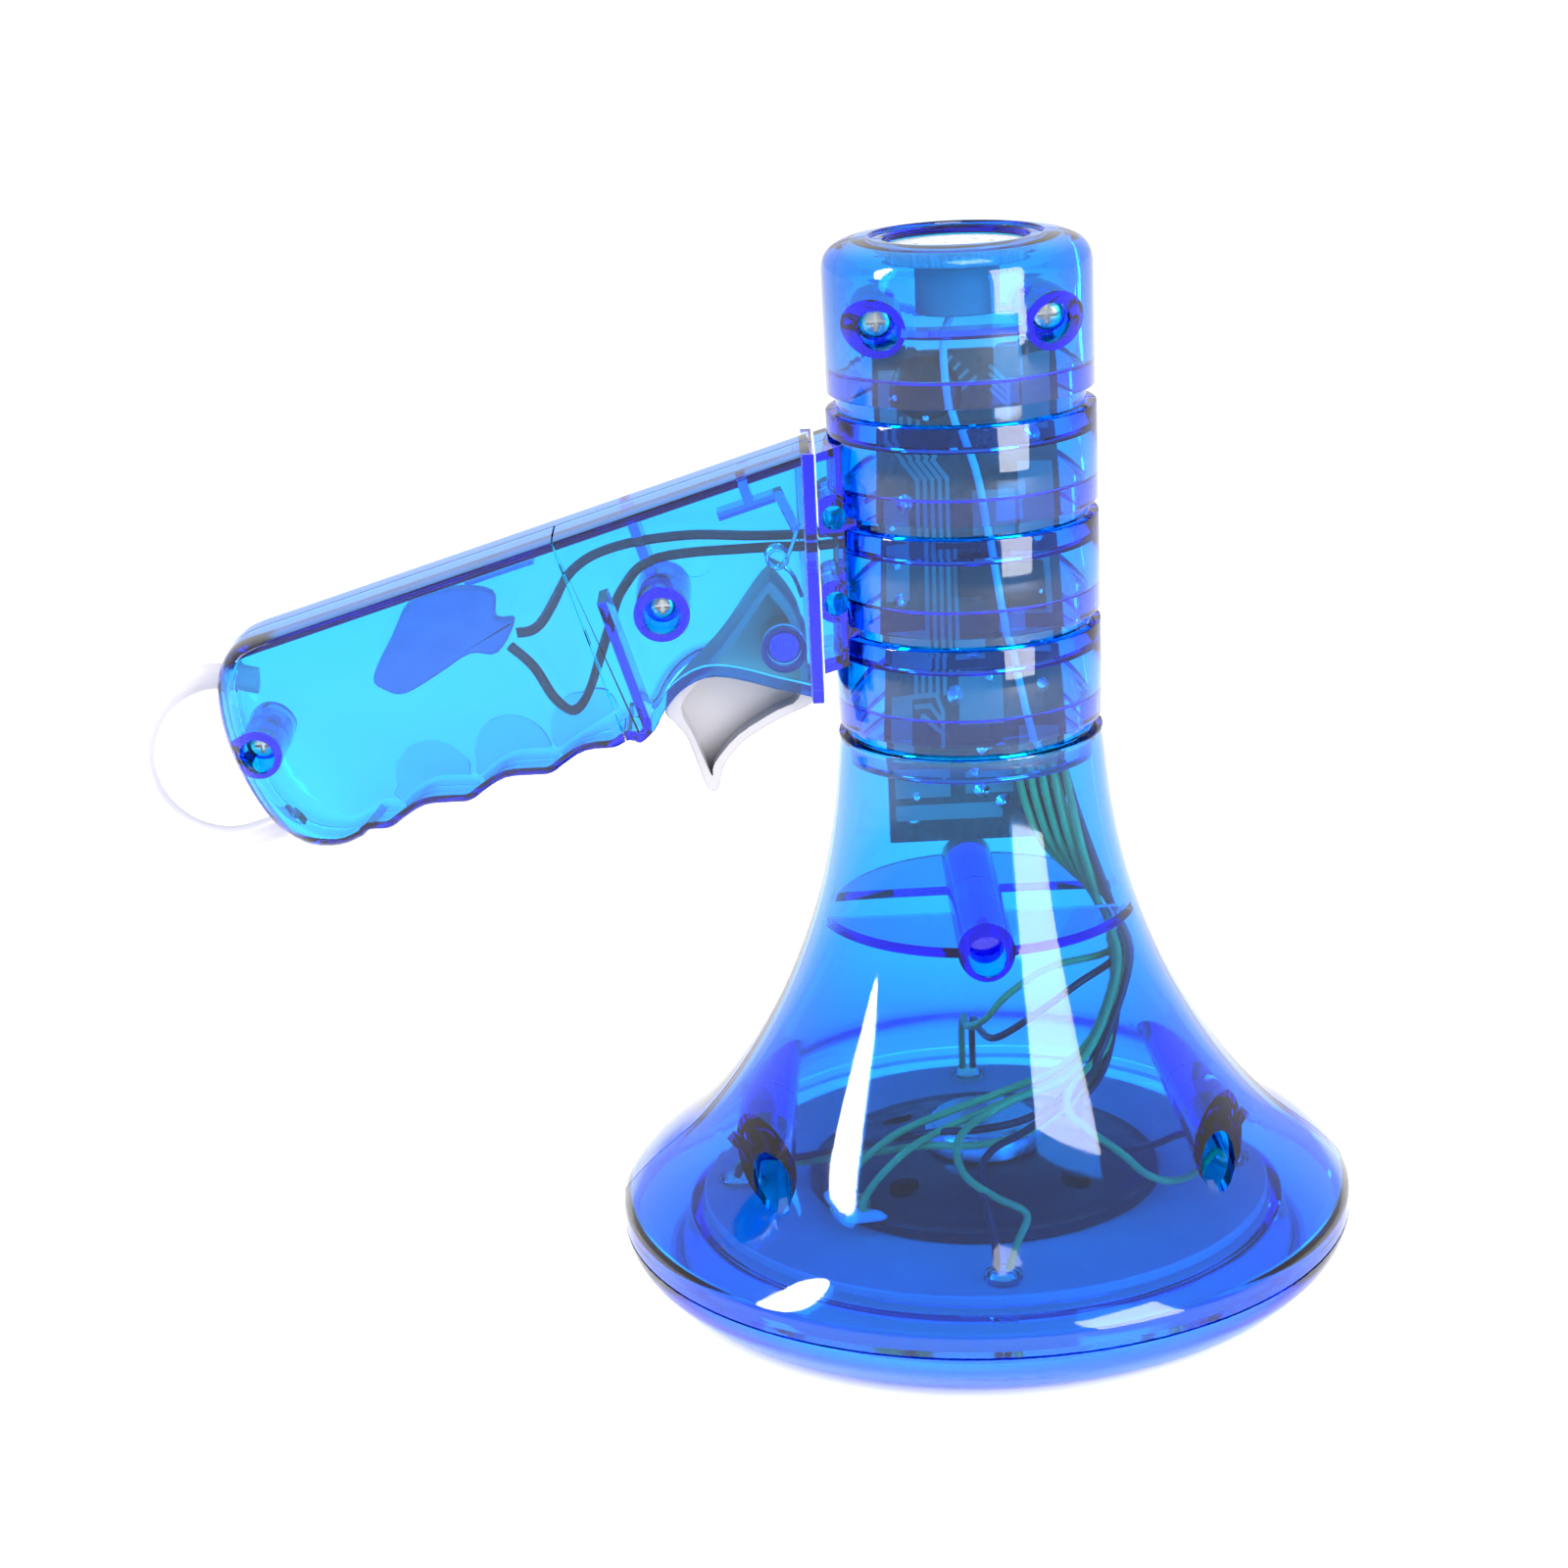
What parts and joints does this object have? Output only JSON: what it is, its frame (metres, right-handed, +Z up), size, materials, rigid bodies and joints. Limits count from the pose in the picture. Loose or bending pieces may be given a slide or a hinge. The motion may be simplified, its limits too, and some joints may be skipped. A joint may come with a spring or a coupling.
{
  "type": "toy electronic megaphone",
  "caption": "Clear-blue toy electronic megaphone standing on its bell, with banded neck, pistol grip, sprung trigger, voice levers, battery cover and carry loop.",
  "frame": {"origin": "centre of the footprint of the whole part, level with the rim of the mouth that it stands on", "axes": "+Z up along the bell axis towards the microphone end, -X towards the grip and carry loop, -Y towards the side with the screws and battery cover"},
  "size_m": [0.1948, 0.1202, 0.169],
  "materials": {
    "blue_plastic": "clear tinted, polished",
    "grey_plastic": "moulded satin",
    "pale_plastic": "translucent white, satin",
    "switch_metal": "pressed sheet",
    "dark_steel": "painted",
    "cone_paper": "matte pulp",
    "magnet": "plated",
    "terminal_board": "matte",
    "led_lens": "clear",
    "grille_plastic": "satin",
    "capsule_metal": "satin",
    "board_green": "lacquered",
    "black_epoxy": "matte",
    "capacitor_sleeve": "shrink sleeve",
    "screw_steel": "zinc plated",
    "spring_steel": "drawn wire",
    "black_rubber": "soft, matte",
    "wire_red": "soft",
    "wire_black": "soft",
    "wire_blue": "soft",
    "wire_green": "soft"
  },
  "bodies": {
    "body": {"body_shell_near": "blue_plastic", "body_shell_far": "blue_plastic", "front_ring": "blue_plastic", "handle_shell_far": "blue_plastic", "handle_shell_near": "blue_plastic", "speaker_grille": "grey_plastic", "mic_holder": "grey_plastic", "carry_loop": "pale_plastic", "voice_switch_1": "switch_metal", "voice_switch_2": "switch_metal", "voice_switch_3": "switch_metal", "speaker_basket": "dark_steel", "speaker_cone": "cone_paper", "speaker_magnet": "magnet", "speaker_terminal": "terminal_board", "led_near": "led_lens", "led_right": "led_lens", "led_far": "led_lens", "led_left": "led_lens", "mic_grille": "grille_plastic", "mic_capsule": "capsule_metal", "circuit_board": "board_green", "voice_chip": "black_epoxy", "amplifier_chip": "black_epoxy", "capacitor_large": "capacitor_sleeve", "capacitor_small": "capacitor_sleeve", "head_screw_left": "screw_steel", "head_screw_right": "screw_steel", "handle_screw": "screw_steel", "trigger_spring": "spring_steel", "battery_clip": "black_rubber", "battery_wire_red": "wire_red", "battery_wire_black": "wire_black", "mic_wire": "wire_blue", "wire_led_near_plus": "wire_green", "wire_led_near_minus": "wire_black", "wire_speaker_plus": "wire_green", "wire_speaker_minus": "wire_green", "wire_led_left_plus": "wire_green", "wire_led_left_minus": "wire_black", "wire_led_far_plus": "wire_green", "wire_led_far_minus": "wire_black", "wire_led_right_plus": "wire_green", "wire_led_right_minus": "wire_black"},
    "trigger": {"trigger": "grey_plastic"},
    "battery_door": {"battery_cover": "blue_plastic", "battery_cover_screw": "screw_steel"},
    "lever_1": {"voice_lever_1": "grey_plastic"},
    "lever_2": {"voice_lever_2": "grey_plastic"},
    "lever_3": {"voice_lever_3": "grey_plastic"}
  },
  "joints": [
    {"name": "trigger_pull", "type": "hinge", "parent": "body", "child": "trigger", "pos_m": [0.00815, 0, 0.1067], "axis": [0, 1, 0], "range_deg": [0, 10], "stiffness_Nm_per_rad": 0.05, "springref_deg": -8.59, "deforming": ["trigger_spring"]},
    {"name": "battery_door_off", "type": "slide", "parent": "body", "child": "battery_door", "axis": [0, -1, 0], "range_m": [0, 0.06]},
    {"name": "lever_1_slide", "type": "slide", "parent": "body", "child": "lever_1", "axis": [1, 0, 0], "range_m": [0, 0.004]},
    {"name": "lever_2_slide", "type": "slide", "parent": "body", "child": "lever_2", "axis": [1, 0, 0], "range_m": [0, 0.004]},
    {"name": "lever_3_slide", "type": "slide", "parent": "body", "child": "lever_3", "axis": [1, 0, 0], "range_m": [0, 0.004]}
  ]
}
